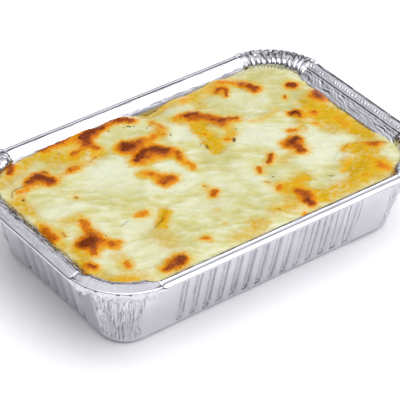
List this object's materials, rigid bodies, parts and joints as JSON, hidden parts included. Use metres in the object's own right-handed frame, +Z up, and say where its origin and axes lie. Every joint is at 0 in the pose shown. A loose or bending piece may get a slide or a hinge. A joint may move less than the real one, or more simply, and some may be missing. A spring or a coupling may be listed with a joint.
{
  "type": "foil tray meal",
  "caption": "Oblong fluted foil tray with a rolled rim and pleated corners, filled with a cheese-topped oven bake browned in patches.",
  "frame": {"origin": "middle of the tray's flat base, on the surface it stands on", "axes": "+X along the tray's length, +Y across it, +Z up"},
  "size_m": [0.22, 0.145, 0.047],
  "materials": {
    "foil": "bright rolled foil, finely creased",
    "cheese": "melted cheese, pale cream with golden and brown blisters, slightly oily"
  },
  "bodies": {
    "root": {"foil_tray": "foil", "cheese_bake": "cheese"}
  },
  "joints": []
}
